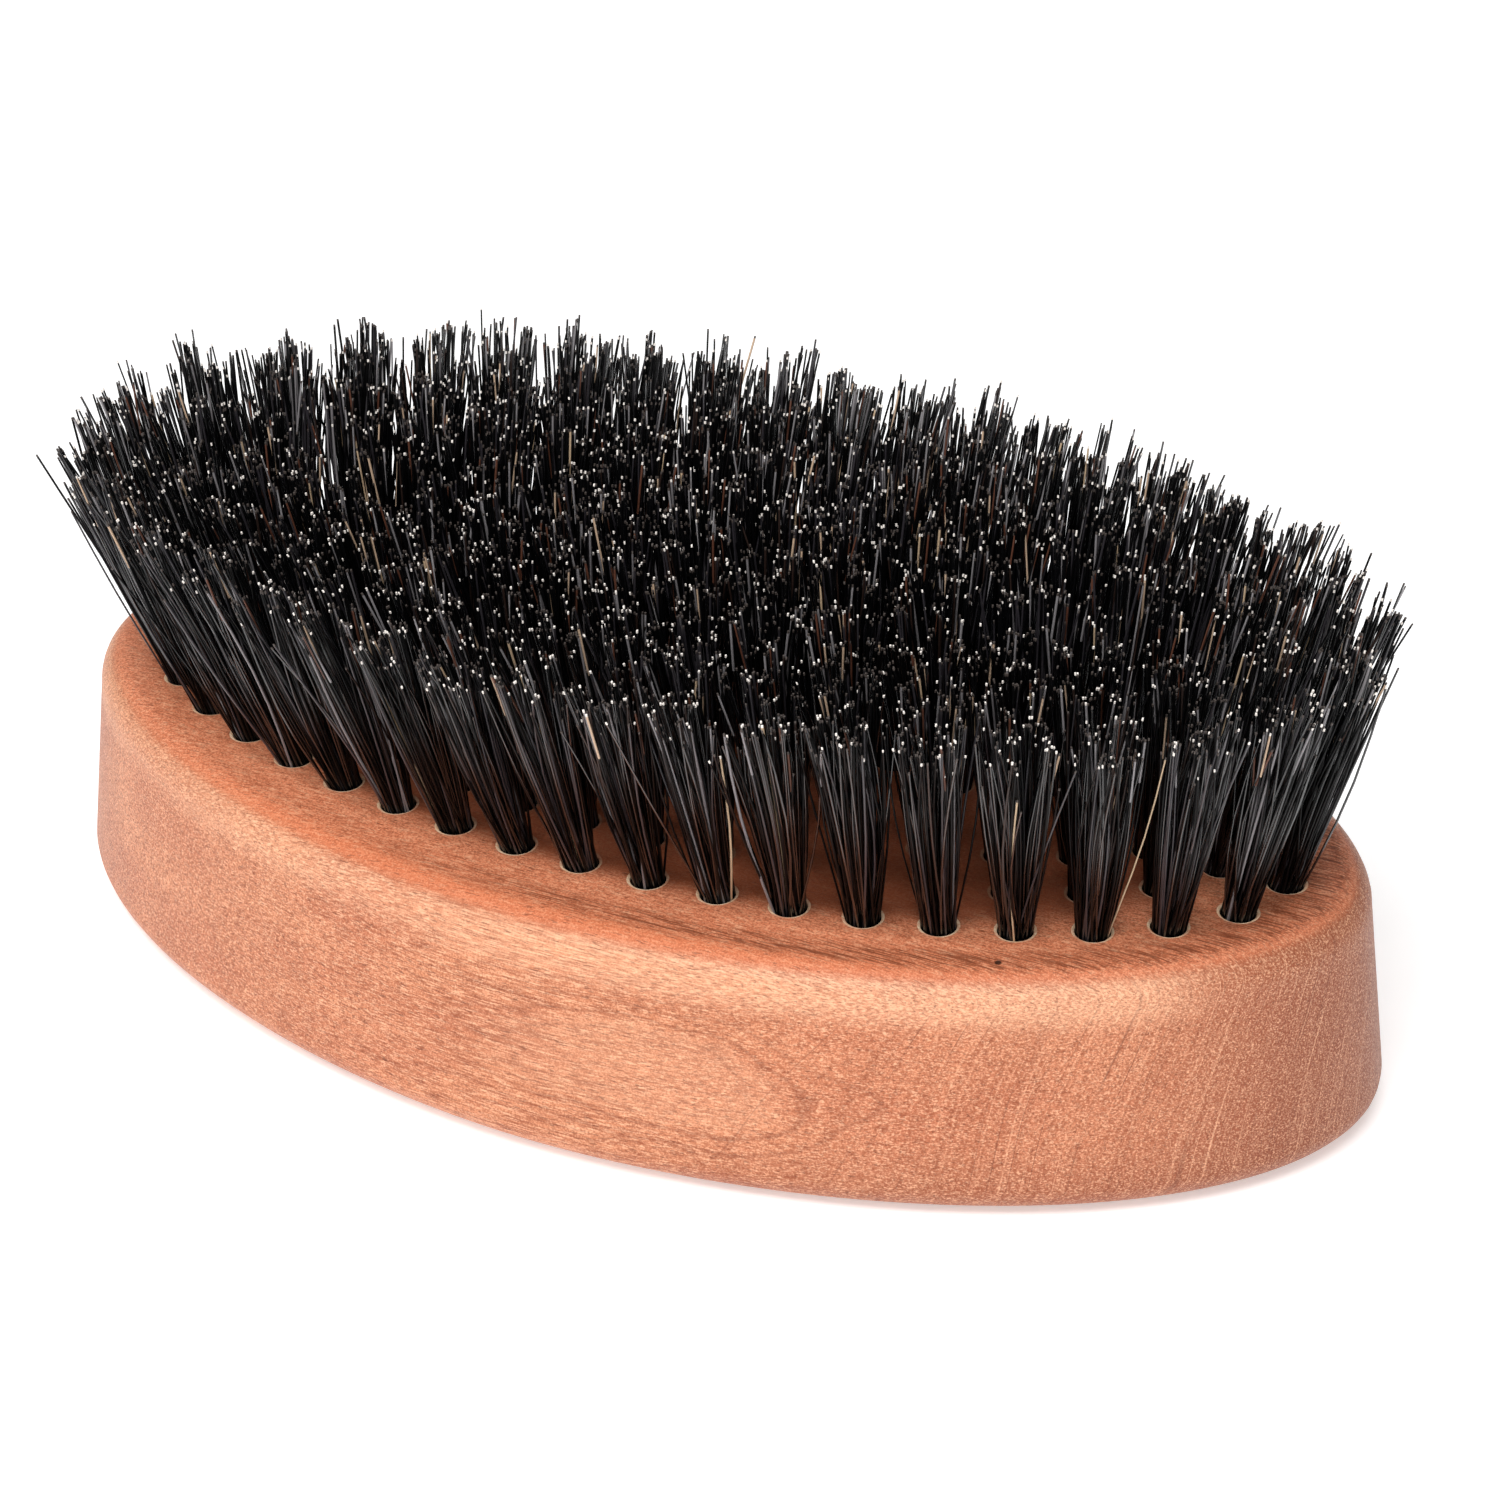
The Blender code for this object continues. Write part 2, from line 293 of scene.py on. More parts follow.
def pear_wood():
    """Oiled pear wood: a fine even wood with faint growth layers, fine fibre and soft cloudy figure."""
    n = Nodes("pear_wood")
    place = n.position()
    x, y, z = n.split(place)

    # The growth layers are nearly flat sheets along the block. They graze the middle of its front,
    # where they show as a swirl, and cut its side ever more steeply towards the right.
    waver = n.noise(n.position(WAVER_SIZE), 1.0, 1.0, 0.35)
    flat = n.math("MULTIPLY_ADD", x, LAYER_SLANT_X, n.math("MULTIPLY_ADD", z, LAYER_SLANT_Z, y))
    depth = n.math("MULTIPLY_ADD", waver, WAVER_HEIGHT, flat)
    far_x, far_z = n.math("DIVIDE", x, 50.0), n.math("DIVIDE", z, 50.0)
    layers = n.noise(n.join(n.math("DIVIDE", depth, LAYER_THICKNESS), far_x, far_z), 1.0, 3.0, 0.55)
    rings = n.noise(n.join(n.math("DIVIDE", depth, RING_SPACING), far_x, 5.0), 1.0, 0.0)
    line = n.band(n.math("ABSOLUTE", n.math("SUBTRACT", rings, 0.5)), 0.0, 0.012, 1.0, 0.0)
    broken = n.noise(n.position((16, 8, 8)), 1.0, 1.0)
    line = n.times(line, n.band(broken, 0.38, 0.62, 0.2, 1.0))
    near_x, near_y = n.math("DIVIDE", x, 11.0), n.math("DIVIDE", y, 11.0)
    hair = n.noise(n.join(n.math("DIVIDE", depth, HAIR_SPACING), near_x, near_y), 1.0, 2.0, 0.6)
    steep = n.band(x, 4.0, 30.0)

    # Fibre, drawn out along the length, fine speckle and soft clouds.
    fibre = n.noise(n.position(FIBRE_SIZE), 1.0, 3.0, 0.6)
    thread = n.noise(n.position(THREAD_SIZE), 1.0, 2.0, 0.6)
    fine = n.noise(n.position(FINE_SIZE), 1.0, 2.0, 0.6)
    grit = n.noise(place, GRIT_SCALE, 1.0, 0.7)
    cloud = n.noise(n.position(CLOUD_SIZE), 1.0, 2.0, 0.55)

    # The wood deepens in colour towards its right-hand end. The end itself, and the lower side towards
    # the right, are darkened further as painted shade.
    base = n.mix(n.band(cloud, 0.34, 0.66), WOOD_DEEP, WOOD_LIGHT)
    base = n.mix(n.band(x, 0.0, END * 0.80, 0.0, 0.45), base, WOOD_HEART)
    base = n.mix(n.band(x, END * 0.76, END, 0.0, 0.80), base, WOOD_PAINTED_SHADE)
    low = n.times(n.band(z, 0.5, 8.0, 0.6, 0.0), n.band(x, -10.0, 35.0))
    base = n.mix(low, base, WOOD_PAINTED_SHADE)

    base = n.mix(n.band(layers, 0.38, 0.64, 0.0, 0.16), base, WOOD_DARK)
    base = n.mix(n.band(fibre, 0.46, 0.72, 0.0, 0.80), base, WOOD_DARK)
    threads = n.times(n.band(thread, 0.50, 0.68), n.band(steep, 0.0, 1.0, 0.80, 0.42))
    base = n.mix(threads, base, WOOD_DARK)
    base = n.mix(n.times(n.band(hair, 0.45, 0.70, 0.0, 0.42), steep), base, WOOD_DARK)
    pale_hair = n.times(n.band(hair, 0.28, 0.42, 0.50, 0.0), n.band(x, 22.0, 50.0))
    base = n.mix(pale_hair, base, WOOD_PALE)
    base = n.mix(n.band(fine, 0.49, 0.68, 0.0, 0.60), base, WOOD_PALE)
    base = n.mix(n.band(grit, 0.48, 0.66, 0.0, 0.44), base, WOOD_DARK)
    base = n.mix(n.band(grit, 0.34, 0.48, 0.24, 0.0), base, WOOD_PALE)
    base = n.mix(n.times(line, n.band(steep, 0.0, 1.0, 0.10, 0.68)), base, WOOD_LINE)

    # One layer is only just cut into, and shows in the middle of the front as nested loops.
    loop_x = n.math("DIVIDE", n.math("SUBTRACT", x, LOOP_MIDDLE[0]), LOOP_REACH[0])
    loop_z = n.math("DIVIDE", n.math("SUBTRACT", z, LOOP_MIDDLE[1]), LOOP_REACH[1])
    loops = n.math("SQRT", n.math("MULTIPLY_ADD", loop_x, loop_x, n.times(loop_z, loop_z)))
    loops = n.math("MULTIPLY_ADD", n.noise(n.position((11, 9, 6)), 1.0, 1.0), 0.7, loops)
    front = n.times(n.band(x, -10.0, 6.0), n.band(y, -20.0, 0.0, 1.0, 0.0))
    for size, strength in LOOPS:
        ring = n.band(n.math("ABSOLUTE", n.math("SUBTRACT", loops, size)), 0.0, 0.045, strength, 0.0)
        base = n.mix(n.times(ring, front), base, WOOD_LINE)
    base = n.mix(n.times(n.band(loops, 1.0, 1.20, 0.13, 0.0), front), base, WOOD_PALE)

    # A painted highlight lies pale along the shoulder, most of all along the right half of the front.
    shoulder = n.times(n.band(z, TOP * 0.76, TOP * 0.88), n.band(z, TOP * 0.95, TOP * 0.99, 1.0, 0.0))
    shoulder = n.times(shoulder, n.band(x, END * 0.76, END * 0.88, 1.0, 0.1))
    painted_highlight = n.times(n.band(x, -20.0, 22.0, 0.34, 0.56), n.band(fine, 0.36, 0.60, 0.35, 1.0))
    base = n.mix(n.times(shoulder, painted_highlight), base, WOOD_PALE)

    # On the drilled face the fibre is cut along, and shows as short streaks. Between the tufts the face
    # is darkened as painted shade from the bristles. The start of its edge is tinted a darker orange,
    # with a thin dark line along it.
    streak = n.noise(n.position(STREAK_SIZE), 1.0, 3.0, 0.7)
    face = n.mix(n.band(streak, 0.52, 0.70, 0.0, 0.60), WOOD_FACE, WOOD_FACE_DARK)
    face = n.mix(n.band(streak, 0.33, 0.48, 0.75, 0.0), face, WOOD_FACE_PALE)
    face = n.mix(n.band(grit, 0.48, 0.66, 0.0, 0.40), face, WOOD_FACE_DARK)
    face = n.mix(n.band(grit, 0.34, 0.48, 0.45, 0.0), face, WOOD_FACE_PALE)
    outward = outwardness(n, x, y)
    # Painted shade of the bristles: the face inward of the outer row is darker.
    face = n.mix(n.band(outward, 0.38, 0.50, 0.86, 0.0), face, WOOD_FACE_DARK)
    base = n.mix(n.band(z, TOP * 0.965, TOP * 0.999), base, face)
    edge = n.times(n.band(z, TOP * 0.955, TOP * 0.985), n.band(outward, 0.66, 0.76, 0.15, 1.0))
    base = n.mix(n.times(edge, 0.42), base, WOOD_EDGE_ORANGE)
    rim = n.times(n.band(outward, 0.56, 0.64), n.band(outward, 0.68, 0.76, 1.0, 0.0))
    rim = n.times(rim, n.band(x, -25.0, 10.0, 0.25, 1.0))
    rim_threads = n.times(n.band(z, TOP * 0.980, TOP * 0.999), n.band(thread, 0.44, 0.62, 0.2, 0.9))
    rim = n.times(rim, rim_threads)
    base = n.mix(rim, base, WOOD_FACE_DARK)

    # Pores: short dark dashes along the fibre, and one pin knot beside the front row.
    pores = n.band(n.noise(n.position(PORE_SIZE), 1.0, 0.0), 0.69, 0.76)
    base = n.mix(n.times(pores, 0.45), base, WOOD_PORE)
    away = n.tree.nodes.new("ShaderNodeVectorMath")
    away.operation = "DISTANCE"
    n.link(place, away.inputs[0])
    away.inputs[1].default_value = PIN_KNOT
    knot = n.band(away.outputs["Value"], PIN_KNOT_RADIUS * 0.6, PIN_KNOT_RADIUS, 1.0, 0.0)
    base = n.mix(n.times(knot, 0.92), base, PIN_KNOT_BLACK)
    n.link(base, n.shader.inputs["Base Color"])

    n.link(n.band(grit, 0.35, 0.65, 0.40, 0.54), n.shader.inputs["Roughness"])
    n.shader.inputs["Specular IOR Level"].default_value = 0.28
    relief = n.math("ADD", fine, n.times(grit, 0.9))
    sunk = n.math("ADD", n.times(pores, 0.9), n.times(knot, 3.0))
    relief = n.math("SUBTRACT", relief, sunk)
    n.bump(relief, 0.5, 0.00008)
    return n.material


def raw_wood():
    """The drilled wood inside the holes and at their lips, paler because it wasn't oiled."""
    n = Nodes("raw_wood")
    grain = n.noise(n.position((1.2, 0.14, 0.14)), 1.0, 2.0)
    worn = n.noise(n.position((0.9, 0.9, 0.9)), 1.0, 2.0)
    colour = n.mix(n.band(grain, 0.35, 0.65), srgb(255, 224, 190), srgb(240, 190, 148))
    colour = n.mix(n.band(worn, 0.50, 0.66, 0.0, 0.55), colour, WOOD_FACE)
    x, y, _ = n.split(n.position())
    # Painted shade: the lips inward of the outer row are darkened, as the tufts round them shade them.
    colour = n.mix(n.band(outwardness(n, x, y), 0.36, 0.46, 0.80, 0.0), colour, WOOD_FACE_DARK)
    n.link(colour, n.shader.inputs["Base Color"])
    n.shader.inputs["Roughness"].default_value = 0.75
    n.bump(grain, 0.3, 0.00004)
    return n.material


def plain(name, colour, roughness, specular=0.5):
    n = Nodes(name)
    n.shader.inputs["Base Color"].default_value = colour
    n.shader.inputs["Roughness"].default_value = roughness
    n.shader.inputs["Specular IOR Level"].default_value = specular
    return n.material


# Natural bristle isn't one colour or one sheen. Each entry is a name, its colour, its roughness, its
# specular level and its share. A strand's body, its upper fifth and its cut end are chosen apart, as
# bristle pales towards its tip.
BODIES = (
    ("bristle_black", srgb(6, 6, 7), 0.30, 0.14, 0.53),
    ("bristle_gloss", srgb(10, 10, 12), 0.19, 1.00, 0.27),
    ("bristle_soot", srgb(46, 43, 47), 0.28, 0.60, 0.13),
    ("bristle_brown", srgb(42, 30, 26), 0.30, 0.35, 0.025),
    ("bristle_straw", srgb(190, 164, 134), 0.40, 0.40, 0.005),
    ("bristle_grey", srgb(124, 120, 122), 0.34, 0.60, 0.030),
)
TIPS = (
    ("tip_same", None, None, None, 0.930),
    ("tip_russet", srgb(96, 60, 46), 0.36, 0.40, 0.022),
    ("tip_tan", srgb(196, 168, 142), 0.40, 0.40, 0.013),
    ("tip_grey", srgb(140, 136, 138), 0.36, 0.50, 0.035),
)
# About a quarter of the cut ends are near white: the pale core of the bristle, with a painted glint on
# it. The rest are dim.
CUT_ENDS = (
    ("cut_end_pale_glint", srgb(246, 238, 230), 0.45, 0.50, 0.24),
    ("cut_end_dim", srgb(70, 62, 58), 0.45, 0.50, 0.76),
)


def anchor_steel():
    """Drawn flat wire, with fine lines along it."""
    n = Nodes("anchor_wire")
    drawn = n.noise(n.position((3, 3, 0.05)), 1.0, 2.0)
    n.link(n.mix(drawn, srgb(150, 150, 150), srgb(196, 196, 194)), n.shader.inputs["Base Color"])
    n.shader.inputs["Metallic"].default_value = 1.0
    n.link(n.band(drawn, 0.3, 0.7, 0.3, 0.45), n.shader.inputs["Roughness"])
    return n.material


# ---------------------------------------------------------------- where the tufts stand

def superellipse(half_length, half_width, exponent, angle):
    """A point of a superellipse and the outward normal there."""
    c, s = cos(angle), sin(angle)
    x = half_length * abs(c) ** (2 / exponent) * (1 if c >= 0 else -1)
    y = half_width * abs(s) ** (2 / exponent) * (1 if s >= 0 else -1)
    slope_x = abs(x / half_length) ** (exponent - 1) / half_length * (1 if c >= 0 else -1)
    slope_y = abs(y / half_width) ** (exponent - 1) / half_width * (1 if s >= 0 else -1)
    return Vector((x, y, 0)), Vector((slope_x, slope_y, 0)).normalized()


def row_path(inset):
    """The closed path of a row as (point, normal), starting at its +X end."""
    quarter = []
    for k in range(PATH_STEPS + 1):
        point, normal = superellipse(
            ROW_HALF_LENGTH, ROW_HALF_WIDTH, ROW_EXPONENT, pi / 2 * k / PATH_STEPS)
        point = point - inset * normal
        if point.y < 0:
            quarter.clear()
        quarter.append((point, normal))
    quarter[0] = (Vector((quarter[0][0].x, 0, 0)), Vector((1, 0, 0)))
    quarter[-1] = (Vector((0, quarter[-1][0].y, 0)), Vector((0, 1, 0)))
    flip_x, flip_y = Vector((-1, 1, 1)), Vector((1, -1, 1))
    half = quarter + [(p * flip_x, n * flip_x) for p, n in reversed(quarter[:-1])]
    return half + [(p * flip_y, n * flip_y) for p, n in reversed(half[:-1])]


def along(path, distances):
    """(point, normal) at each distance along a path, which are in rising order."""
    found = []
    start, walked = 0, 0.0
    for distance in distances:
        step = (path[start + 1][0] - path[start][0]).length
        while start < len(path) - 2 and walked + step < distance:
            walked += step
            start += 1
            step = (path[start + 1][0] - path[start][0]).length
        share = (distance - walked) / step
        point = path[start][0].lerp(path[start + 1][0], share)
        normal = path[start][1].lerp(path[start + 1][1], share).normalized()
        found.append((point, normal))
    return found


def path_length(path):
    return sum((path[k + 1][0] - path[k][0]).length for k in range(len(path) - 1))


def tuft_frame(point, outward, inset):
    """Where a tuft stands: its origin in the face, Z along it, X away from the middle of the brush."""
    outer_lean = ACROSS_LEAN + (ALONG_LEAN - ACROSS_LEAN) * abs(outward.x)
    lean = outer_lean * (1 - inset / ROW_HALF_WIDTH)
    turn = Matrix.Rotation(atan2(outward.y, outward.x), 4, "Z")
    tilt = Matrix.Rotation(lean, 4, "Y")
    return Matrix.Translation((point.x, point.y, HEIGHT)) @ turn @ tilt


def full_row(inset, count):
    path = row_path(inset)
    pitch = path_length(path) / count
    return [tuft_frame(p, n, inset) for p, n in along(path, [k * pitch for k in range(count)])]


def fourth_row():
    inset = 3 * ROW_SPACING
    path = row_path(inset)
    length = path_length(path)
    offsets = [(k - FOURTH_PAIRS + 0.5) * FOURTH_PITCH for k in range(2 * FOURTH_PAIRS)]
    back = along(path, [length / 4 + offset for offset in offsets])
    front = along(path, [length * 3 / 4 + offset for offset in offsets])
    return [[tuft_frame(p, n, inset) for p, n in side] for side in (back, front)]


def axis_row(others):
    frames = []
    for k in range(-AXIS_REACH, AXIS_REACH + 1):
        x = k * AXIS_PITCH
        nearest = min(hypot(f.translation.x - x, f.translation.y) for f in others)
        if nearest >= AXIS_CLEARANCE:
            frames.append(tuft_frame(Vector((x, 0, 0)), Vector((1, 0, 0)), ROW_HALF_WIDTH))
    return frames


def all_tufts():
    """(row, piece name, CAD node it stands for, frame) of every tuft."""
    outer = full_row(0, OUTER_COUNT)
    names = [f"outer_tuft_{k + 1:02d}" for k in range(OUTER_COUNT)]
    tufts = [("outer", name, name, f) for name, f in zip(names, outer)]
    inner = (("second_row", ROW_SPACING, SECOND_COUNT), ("third_row", 2 * ROW_SPACING, THIRD_COUNT))
    for row, inset, count in inner:
        frames = full_row(inset, count)
        half = count // 2
        tufts.append((row, row + "_right_end_tuft", row + "_right_end_tuft", frames[0]))
        tufts.append((row, row + "_left_end_tuft", row + "_left_end_tuft", frames[half]))
        for side, stretch in (("back", frames[1:half]), ("front", frames[half + 1:])):
            for k, f in enumerate(stretch):
                tufts.append((row, f"{row}_{side}_tuft_{k + 1:02d}", f"{row}_{side}_tufts", f))
    for side, stretch in zip(("back", "front"), fourth_row()):
        for k, f in enumerate(stretch):
            name = f"fourth_row_{side}_tuft_{k + 1:02d}"
            tufts.append(("fourth_row", name, f"fourth_row_{side}_tufts", f))
    for k, f in enumerate(axis_row([t[3] for t in tufts])):
        tufts.append(("axis", f"axis_tuft_{k + 1}", f"axis_tuft_{k + 1}", f))
    return tufts


# ---------------------------------------------------------------- the block

def add_object(name, mesh):
    obj = bpy.data.objects.new(name, mesh)
    bpy.context.scene.collection.objects.link(obj)
    return obj


def block_profile():
    """(inset from the widest outline, height) from the middle of the back to the middle of the face."""
    steps = [k / EDGE_STEPS * pi / 2 for k in range(EDGE_STEPS + 1)]
    bottom = [(BOTTOM_EDGE_INSET * (1 - sin(t)), BOTTOM_EDGE_HEIGHT * (1 - cos(t))) for t in steps]
    top = [(SIDE_DRAFT + TOP_EDGE * (1 - cos(t)), HEIGHT - TOP_EDGE * (1 - sin(t))) for t in steps]
    first = (BOTTOM_EDGE_INSET + FLAT_RIM, 0)
    last = (SIDE_DRAFT + TOP_EDGE + FLAT_RIM, HEIGHT)
    return [first, *bottom, *top, last]


def block_blank():
    bm = bmesh.new()
    outline = [
        superellipse(HALF_LENGTH, HALF_WIDTH, BLOCK_EXPONENT, 2 * pi * k / BLOCK_SIDES)
        for k in range(BLOCK_SIDES)
    ]
    below = None
    for inset, height in block_profile():
        ring = [bm.verts.new(p - inset * n + Vector((0, 0, height))) for p, n in outline]
        if below is None:
            bm.faces.new(ring[::-1])
        else:
            for k in range(BLOCK_SIDES):
                bm.faces.new((below[k - 1], below[k], ring[k], ring[k - 1]))
        below = ring
    bm.faces.new(below)
    mesh = bpy.data.meshes.new("block_blank")
    bm.to_mesh(mesh)
    bm.free()
    return mesh


def drills(frames):
    """A drill for each hole. It widens where it leaves the face, all round by the same amount."""
    circle = [(cos(a), sin(a)) for a in (2 * pi * k / HOLE_SIDES for k in range(HOLE_SIDES))]
    bm = bmesh.new()
    for f in frames:
        slant, up = f[2][0], f[2][2]
        bottom = [Vector((HOLE_RADIUS * c, HOLE_RADIUS * s, -HOLE_DEPTH)) for c, s in circle]
        rings = [[bm.verts.new(f @ corner) for corner in bottom]]
        for lip_share in (0, 3):
            radius = HOLE_RADIUS + lip_share * LIP_WIDTH
            level = (lip_share - 1) * LIP_DEPTH
            rings.append([
                bm.verts.new(f @ Vector((radius * c, radius * s, (level - slant * radius * c) / up)))
                for c, s in circle
            ])
        for lower, upper in zip(rings, rings[1:]):
            for k in range(HOLE_SIDES):
                bm.faces.new((lower[k - 1], lower[k], upper[k], upper[k - 1]))
        bm.faces.new(rings[0][::-1])
        bm.faces.new(rings[-1])
    mesh = bpy.data.meshes.new("drills")
    bm.to_mesh(mesh)
    bm.free()
    return mesh


def make_block(frames):
    blank_mesh = block_blank()
    blank_mesh.materials.append(pear_wood())
    blank = add_object("block_blank", blank_mesh)
    drill_mesh = drills(frames)
    drill_mesh.materials.append(raw_wood())
    drill = add_object("drills", drill_mesh)
    cut = blank.modifiers.new("Holes", "BOOLEAN")
    cut.operation = "DIFFERENCE"
    cut.solver = "EXACT"
    cut.material_mode = "TRANSFER"
    cut.object = drill
    evaluated = blank.evaluated_get(bpy.context.evaluated_depsgraph_get())
    mesh = bpy.data.meshes.new_from_object(evaluated)
    for helper in (blank, drill):
        bpy.data.objects.remove(helper)
    mesh.name = "oval_block"
    mesh.shade_smooth()
    mesh.set_sharp_from_angle(angle=radians(25))
    block = add_object("oval_block", mesh)
    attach(block, "root")
    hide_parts("wooden_block")


# ---------------------------------------------------------------- the bristles

def choose(rng, kinds, count):
    """A random kind for each strand, by the kinds' shares."""
    shares = np.array([kind[-1] for kind in kinds])
    return rng.choice(len(kinds), size=count, p=shares / shares.sum())


def strand_lines(rng, slant, reach, spread):
    """Centre lines of a tuft's bristles in the tuft's frame: an array of strand, ring and XYZ.

    The tips are trimmed level. The tuft leans, so in its own frame the level plane climbs by slant
    along X, and reach is its height over the middle.
    """
    order = np.arange(STRANDS)
    angle = order * GOLDEN_ANGLE + rng.uniform(0, 2 * pi)
    distance = ROOT_RADIUS * np.sqrt((order + 0.5) / STRANDS)
    root = distance[:, None] * np.stack([np.cos(angle), np.sin(angle)], 1)
    root += rng.normal(0, ROOT_JITTER, root.shape)

    # The bundle opens evenly. Neighbours cling together at the tips, and a few bristles have sprung
    # well out of line.
    tip = root * (spread / ROOT_RADIUS) * rng.normal(1.0, SPREAD_VARIATION, (STRANDS, 1))
    tip += rng.normal(0, TIP_JITTER, root.shape)
    heads = tip[rng.choice(STRANDS, CLUMPS, replace=False)]
    group = np.argmin(np.linalg.norm(tip[:, None] - heads[None], axis=2), axis=1)
    tip += CLING * (heads[group] - tip)
    sprung = rng.random(STRANDS) < SPRUNG_SHARE
    tip[sprung] += rng.normal(0, SPRUNG_REACH, (sprung.sum(), 2))

    length = reach + slant * tip[:, 0]
    clump_length = rng.normal(0.0, CLUMP_LENGTH_VARIATION, CLUMPS)[group]
    length += clump_length + rng.normal(0.0, LENGTH_VARIATION, STRANDS)
    short = rng.random(STRANDS) < SHORT_SHARE
    length[short] -= rng.uniform(*SHORT_BY, short.sum())

    bend = rng.normal(0, BEND, root.shape)
    shares = np.array(RING_SHARES)
    heights = np.concatenate([
        np.full((STRANDS, 1), BRISTLE_FOOT),
        shares[None, :] * length[:, None],
        (length - CUT_END)[:, None],
        length[:, None],
    ], axis=1)
    rise = np.clip(heights / length[:, None], 0, 1)
    across = (
        root[:, None, :]
        + (tip - root)[:, None, :] * (rise ** OPENING_POWER)[:, :, None]
        + bend[:, None, :] * np.sin(pi * rise)[:, :, None]
    )
    # At the foot the bristles part to either side of the anchor.
    nearness = (1 - abs(root[:, 0]) / ROOT_RADIUS).clip(0)
    across[:, 0, 0] += np.sign(root[:, 0]) * (ANCHOR_SIZE[0] / 2 + STRAND_RADIUS) * nearness
    return np.concatenate([across, heights[:, :, None]], axis=2)


def tuft_mesh(name, frame_matrix, seed, spread, materials):
    rng = np.random.default_rng(seed)
    up = frame_matrix.row[2]
    centres = strand_lines(rng, -up[0] / up[2], TIP_HEIGHT / up[2], spread)
    rings = centres.shape[1]
    thickness = STRAND_RADIUS * rng.normal(1.0, THICKNESS_VARIATION, STRANDS).clip(0.75, 1.25)
    taper = np.array(RING_TAPER)
    corner = 2 * pi * np.arange(STRAND_SIDES) / STRAND_SIDES
    corners = corner[None, :] + rng.uniform(0, pi, (STRANDS, 1))
    circle = np.stack([np.cos(corners), np.sin(corners), np.zeros_like(corners)], axis=2)
    radius = thickness[:, None] * taper[None, :]
    points = centres[:, :, None, :] + radius[:, :, None, None] * circle[:, None, :, :]

    matrix = np.array(frame_matrix)
    points = points.reshape(-1, 3) @ matrix[:3, :3].T + matrix[:3, 3]

    ring, side = np.meshgrid(np.arange(rings - 1), np.arange(STRAND_SIDES), indexing="ij")
    after = (side + 1) % STRAND_SIDES
    quads = np.stack([
        ring * STRAND_SIDES + side,
        ring * STRAND_SIDES + after,
        (ring + 1) * STRAND_SIDES + after,
        (ring + 1) * STRAND_SIDES + side,
    ], axis=2).reshape(-1, 4)
    last = (rings - 1) * STRAND_SIDES
    caps = [list(range(STRAND_SIDES))[::-1], [last + k for k in range(STRAND_SIDES)]]
    faces = quads.tolist() + caps
    strand_points = rings * STRAND_SIDES
    all_faces = [[v + k * strand_points for v in face] for k in range(STRANDS) for face in faces]

    bodies = choose(rng, BODIES, STRANDS)
    tips = choose(rng, TIPS, STRANDS)
    tips = np.where(tips == 0, bodies, len(BODIES) + tips - 1)
    ends = len(BODIES) + len(TIPS) - 1 + choose(rng, CUT_ENDS, STRANDS)
    per_strand = np.repeat(bodies[:, None], len(faces), axis=1)
    per_strand[:, TIP_RING * STRAND_SIDES:] = tips[:, None]
    per_strand[:, (rings - 2) * STRAND_SIDES:] = ends[:, None]
    per_strand[:, -2] = bodies

    mesh = bpy.data.meshes.new(name)
    mesh.from_pydata(points.tolist(), [], all_faces)
    for material in materials:
        mesh.materials.append(material)
    mesh.polygons.foreach_set("material_index", per_strand.ravel().astype(np.int32))
    mesh.shade_smooth()
    mesh.set_sharp_from_angle(angle=radians(80))
    return mesh


def make_tufts(tufts):
    kinds = BODIES + TIPS[1:] + CUT_ENDS
    materials = [plain(*kind[:-1]) for kind in kinds]
    for seed, (row, name, node, f) in enumerate(tufts):
        spread = TIP_SPREAD if row == "outer" else INNER_TIP_SPREAD
        piece = add_object(name + "_bristles", tuft_mesh(name, f, seed, spread, materials))
        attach(piece, "root")
        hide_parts(node)


def make_anchors(tufts):
    """The flat wire across the bottom of each hole, on edge, its ends let into the wood."""
    steel = anchor_steel()
    for row in sorted({t[0] for t in tufts}):
        bm = bmesh.new()
        for _, _, _, f in (t for t in tufts if t[0] == row):
            middle = Matrix.Translation((0, 0, BRISTLE_FOOT + ANCHOR_SIZE[2] / 2))
            place = f @ middle @ Matrix.Diagonal((*ANCHOR_SIZE, 1))
            made = bmesh.ops.create_cube(bm, size=1.0, matrix=place)
            edges = {e for v in made["verts"] for e in v.link_edges}
            bmesh.ops.bevel(
                bm, geom=list(edges), offset=ANCHOR_SIZE[0] * ANCHOR_ROUNDING,
                segments=2, affect="EDGES", profile=0.5)
        mesh = bpy.data.meshes.new(row + "_anchor_wires")
        bm.to_mesh(mesh)
        bm.free()
        mesh.materials.append(steel)
        mesh.shade_smooth()
        mesh.set_sharp_from_angle(angle=radians(40))
        wires = add_object(row + "_anchor_wires", mesh)
        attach(wires, "root")


# ---------------------------------------------------------------- the stage

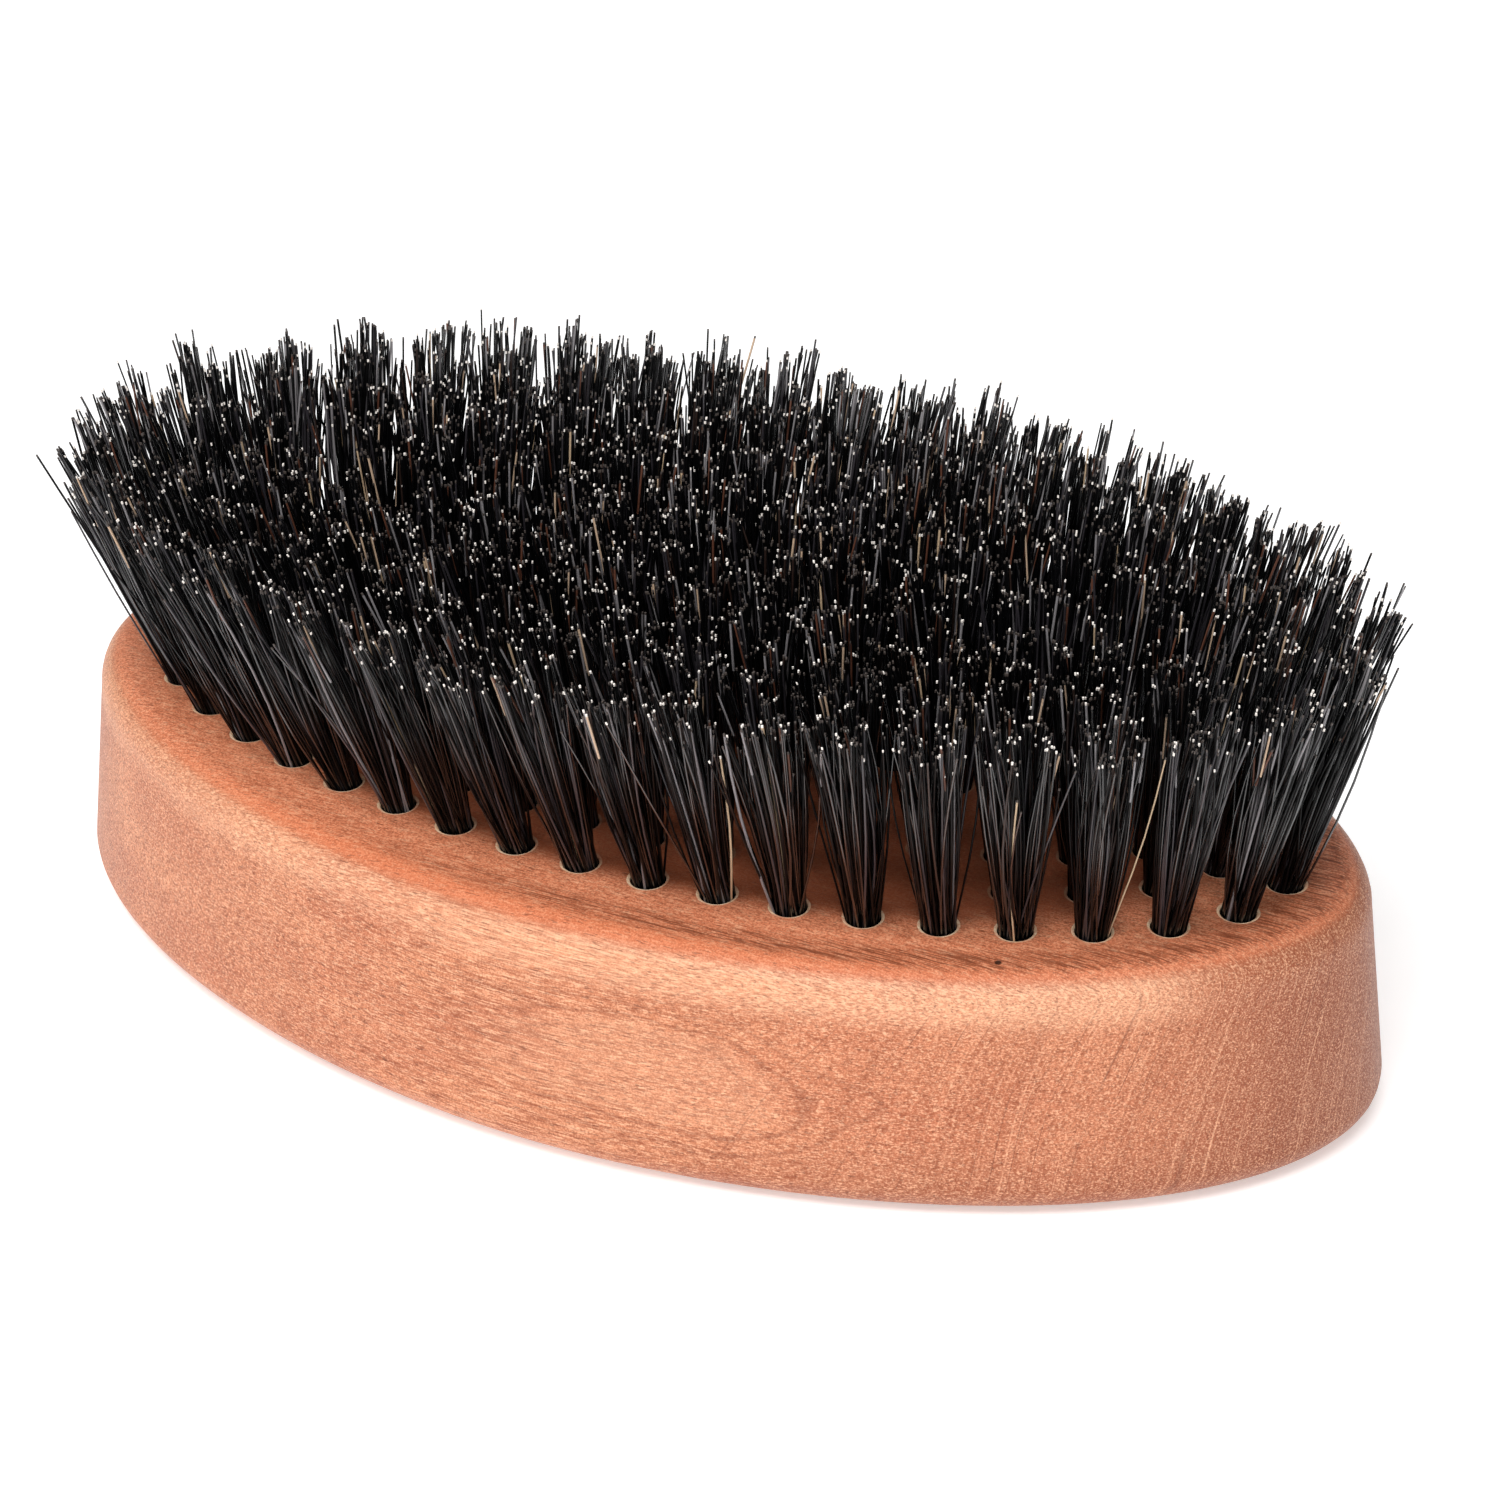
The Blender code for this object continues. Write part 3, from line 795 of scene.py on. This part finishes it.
def make_floor():
    bm = bmesh.new()
    bmesh.ops.create_grid(bm, x_segments=1, y_segments=1, size=FLOOR_SIZE)
    mesh = bpy.data.meshes.new("floor")
    bm.to_mesh(mesh)
    bm.free()
    white = plain("floor", (FLOOR_WHITE, FLOOR_WHITE, FLOOR_WHITE, 1.0), 0.6, 0.2)
    shader = white.node_tree.nodes["Principled BSDF"]
    shader.inputs["Emission Color"].default_value = (1.0, 1.0, 1.0, 1.0)
    shader.inputs["Emission Strength"].default_value = FLOOR_GLOW
    mesh.materials.append(white)
    floor = add_object("floor", mesh)


def area_light(name, place, aim, size, power):
    data = bpy.data.lights.new(name, "AREA")
    data.shape = "RECTANGLE"
    data.size, data.size_y = size
    data.energy = power
    light = bpy.data.objects.new(name, data)
    bpy.context.scene.collection.objects.link(light)
    light.location = place
    light.rotation_euler = (Vector(aim) - Vector(place)).to_track_quat("-Z", "Y").to_euler()


def make_lights():
    world = bpy.data.worlds.new("studio")
    world.use_nodes = True
    background = world.node_tree.nodes["Background"]
    background.inputs["Color"].default_value = (1.0, 1.0, 1.0, 1.0)
    background.inputs["Strength"].default_value = WORLD_STRENGTH
    bpy.context.scene.world = world
    for name, place, size, power in LIGHTS:
        area_light(name, place, (0, 0, HEIGHT), size, power)


def make_camera():
    right = Vector((cos(CAMERA_AZIMUTH), sin(CAMERA_AZIMUTH), 0))
    back = Vector((
        sin(CAMERA_AZIMUTH) * cos(CAMERA_ELEVATION),
        -cos(CAMERA_AZIMUTH) * cos(CAMERA_ELEVATION),
        sin(CAMERA_ELEVATION),
    ))
    up = back.cross(right)
    aim = Vector((0, 0, HEIGHT / 2)) + right * CAMERA_AIM[0] + up * CAMERA_AIM[1]
    axes = Matrix((right, up, back)).transposed() @ Matrix.Rotation(CAMERA_ROLL, 3, "Z")
    data = bpy.data.cameras.new("camera")
    data.sensor_width = SENSOR
    data.lens = CAMERA_LENS
    data.clip_start, data.clip_end = 0.01, 20.0
    camera = bpy.data.objects.new("camera", data)
    bpy.context.scene.collection.objects.link(camera)
    camera.matrix_world = Matrix.LocRotScale(aim + back * CAMERA_DISTANCE, axes, None)
    bpy.context.scene.camera = camera


make_camera()
make_lights()
make_floor()
TUFTS = all_tufts()
make_block([t[3] for t in TUFTS])
make_tufts(TUFTS)
make_anchors(TUFTS)
bpy.context.scene.view_settings.view_transform = "Standard"
